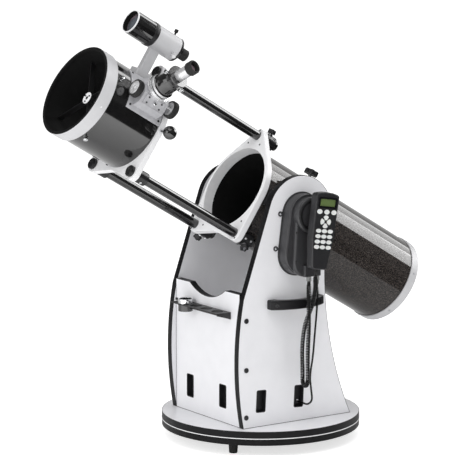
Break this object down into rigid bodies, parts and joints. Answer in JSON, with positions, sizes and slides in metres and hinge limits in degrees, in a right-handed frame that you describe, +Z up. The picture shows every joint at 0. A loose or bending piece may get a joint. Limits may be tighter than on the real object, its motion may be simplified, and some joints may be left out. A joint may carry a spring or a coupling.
{
  "type": "collapsible truss-tube Dobsonian telescope with motor drives",
  "caption": "Collapsible Dobsonian reflector: round turntable, rocker box with side drive, handset, truss poles, focuser and finder.",
  "frame": {"origin": "on the azimuth axis at floor level, between the feet", "axes": "+Z up along the azimuth axis; +X along the altitude axis towards the drive and handset side; the tube points towards -Y, raised 30.2 degrees at rest"},
  "size_m": [0.5139, 1.0782, 1.116],
  "materials": {
    "white_laminate": "melamine-faced board, satin",
    "black_laminate": "black melamine, satin",
    "black_plastic": "matt moulded",
    "tray_metal": "black coated, one bright ring",
    "zinc_steel": "zinc plated",
    "brass": "machined",
    "motor_steel": "plain",
    "lcd": "green display window",
    "white_keys": "matt",
    "flake_black_paint": "gloss with fine metal flake",
    "gloss_black_paint": "gloss",
    "white_paint": "satin powder coat",
    "black_metal": "satin black anodised",
    "chrome": "polished",
    "silver_knob": "turned",
    "mirror_glass": "polished"
  },
  "bodies": {
    "ground": {"ground_board": "black_laminate", "feet": "black_plastic", "azimuth_pivot_bolt": "zinc_steel", "azimuth_gear": "brass"},
    "rocker": {"turntable_board": "white_laminate", "rocker_edge_bands": "black_laminate", "left_side_panel": "white_laminate", "right_side_panel": "white_laminate", "front_panel": "white_laminate", "slot_liners": "black_plastic", "panel_bolt_caps": "black_plastic", "carry_handles": "black_plastic", "accessory_tray": "tray_metal", "altitude_drive_base": "black_plastic", "altitude_drive_cover": "black_plastic", "altitude_motor": "motor_steel", "azimuth_drive_housing": "black_plastic", "handset_bracket": "black_plastic", "handset_front_shell": "black_plastic", "handset_rear_shell": "black_plastic", "handset_screen": "lcd", "number_keys": "white_keys", "handset_cord": "black_plastic", "azimuth_cable": "black_plastic"},
    "azimuth_pinion": {"azimuth_pinion": "zinc_steel"},
    "altitude_worm": {"altitude_worm": "zinc_steel"},
    "tube": {"lower_tube": "flake_black_paint", "lower_truss_ring": "white_paint", "rear_end_ring": "white_paint", "mirror_cell": "black_metal", "primary_mirror": "mirror_glass", "altitude_saddle": "black_metal", "altitude_wheel": "brass", "left_trunnion": "black_metal", "pole_clamps": "black_metal"},
    "saddle_knob": {"saddle_knob": "black_metal"},
    "pole_lock_knob_1": {"pole_lock_knob_1": "black_metal"},
    "pole_lock_knob_2": {"pole_lock_knob_2": "black_metal"},
    "pole_lock_knob_3": {"pole_lock_knob_3": "black_metal"},
    "cage": {"truss_poles": "gloss_black_paint", "upper_truss_ring": "white_paint", "ring_fittings": "black_metal", "upper_tube": "gloss_black_paint", "front_ring": "white_paint", "spider": "black_metal", "secondary_mirror": "mirror_glass", "focuser_body": "white_paint", "finder_bracket": "white_paint", "finder_tube": "black_metal"},
    "drawtube": {"drawtube": "chrome", "eyepiece_adapter": "black_metal", "eyepiece": "chrome"},
    "focus_knobs": {"focus_knobs": "silver_knob"},
    "key_back": {"key_back": "white_keys"},
    "key_enter": {"key_enter": "white_keys"},
    "key_menu": {"key_menu": "white_keys"},
    "key_right": {"key_right": "white_keys"},
    "key_up": {"key_up": "white_keys"},
    "key_left": {"key_left": "white_keys"},
    "key_down": {"key_down": "white_keys"}
  },
  "joints": [
    {"name": "azimuth_turn", "type": "hinge", "parent": "ground", "child": "rocker", "pos_m": [0, 0, 0.048], "axis": [0, 0, 1], "continuous": true},
    {"name": "altitude_tilt", "type": "hinge", "parent": "rocker", "child": "tube", "pos_m": [0, 0.008, 0.601], "axis": [-1, 0, 0], "range_deg": [-35.2, 59.8]},
    {"name": "cage_slide", "type": "slide", "parent": "tube", "child": "cage", "axis": [0, 0.8643, -0.503], "range_m": [0, 0.3]},
    {"name": "focus_travel", "type": "slide", "parent": "cage", "child": "drawtube", "axis": [0.8387, 0.274, 0.4707], "range_m": [0, 0.035]},
    {"name": "focus_knob_spin", "type": "hinge", "parent": "cage", "child": "focus_knobs", "pos_m": [0.13118, -0.40635, 0.90692], "axis": [0, -0.8643, 0.503], "range_deg": [-680, 10]},
    {"name": "altitude_worm_spin", "type": "hinge", "parent": "rocker", "child": "altitude_worm", "pos_m": [0.177, 0.00177, 0.553], "axis": [0, 0.9917, -0.1288], "range_deg": [-2120, 3600]},
    {"name": "azimuth_pinion_spin", "type": "hinge", "parent": "rocker", "child": "azimuth_pinion", "pos_m": [-0.0525, 0, 0.072], "axis": [0, 0, 1], "continuous": true},
    {"name": "saddle_clamp_turn", "type": "hinge", "parent": "tube", "child": "saddle_knob", "pos_m": [0.132, 0.0583, 0.68743], "axis": [0, 0.503, 0.8643], "range_deg": [0, 720]},
    {"name": "pole_lock_turn_1", "type": "hinge", "parent": "tube", "child": "pole_lock_knob_1", "pos_m": [0, 0.03042, 0.78465], "axis": [0, 0.503, 0.8643], "range_deg": [0, 540]},
    {"name": "pole_lock_turn_2", "type": "hinge", "parent": "tube", "child": "pole_lock_knob_2", "pos_m": [0.10302, -0.12312, 0.52084], "axis": [0.606, -0.4001, -0.6875], "range_deg": [0, 540]},
    {"name": "pole_lock_turn_3", "type": "hinge", "parent": "tube", "child": "pole_lock_knob_3", "pos_m": [-0.10302, -0.12312, 0.52084], "axis": [-0.606, -0.4001, -0.6875], "range_deg": [0, 540]},
    {"name": "key_back_press", "type": "slide", "parent": "rocker", "child": "key_back", "axis": [-1, 0, 0], "range_m": [0, 0.001], "stiffness_N_per_m": 600},
    {"name": "key_enter_press", "type": "slide", "parent": "rocker", "child": "key_enter", "axis": [-1, 0, 0], "range_m": [0, 0.001], "stiffness_N_per_m": 600},
    {"name": "key_menu_press", "type": "slide", "parent": "rocker", "child": "key_menu", "axis": [-1, 0, 0], "range_m": [0, 0.001], "stiffness_N_per_m": 600},
    {"name": "key_right_press", "type": "slide", "parent": "rocker", "child": "key_right", "axis": [-1, 0, 0], "range_m": [0, 0.001], "stiffness_N_per_m": 600},
    {"name": "key_up_press", "type": "slide", "parent": "rocker", "child": "key_up", "axis": [-1, 0, 0], "range_m": [0, 0.001], "stiffness_N_per_m": 600},
    {"name": "key_left_press", "type": "slide", "parent": "rocker", "child": "key_left", "axis": [-1, 0, 0], "range_m": [0, 0.001], "stiffness_N_per_m": 600},
    {"name": "key_down_press", "type": "slide", "parent": "rocker", "child": "key_down", "axis": [-1, 0, 0], "range_m": [0, 0.001], "stiffness_N_per_m": 600}
  ],
  "couplings": [
    {"joint": "focus_knob_spin", "follows": "focus_travel", "rad_per_m": -333.33},
    {"joint": "altitude_worm_spin", "follows": "altitude_tilt", "ratio": 60},
    {"joint": "azimuth_pinion_spin", "follows": "azimuth_turn", "ratio": 4}
  ]
}
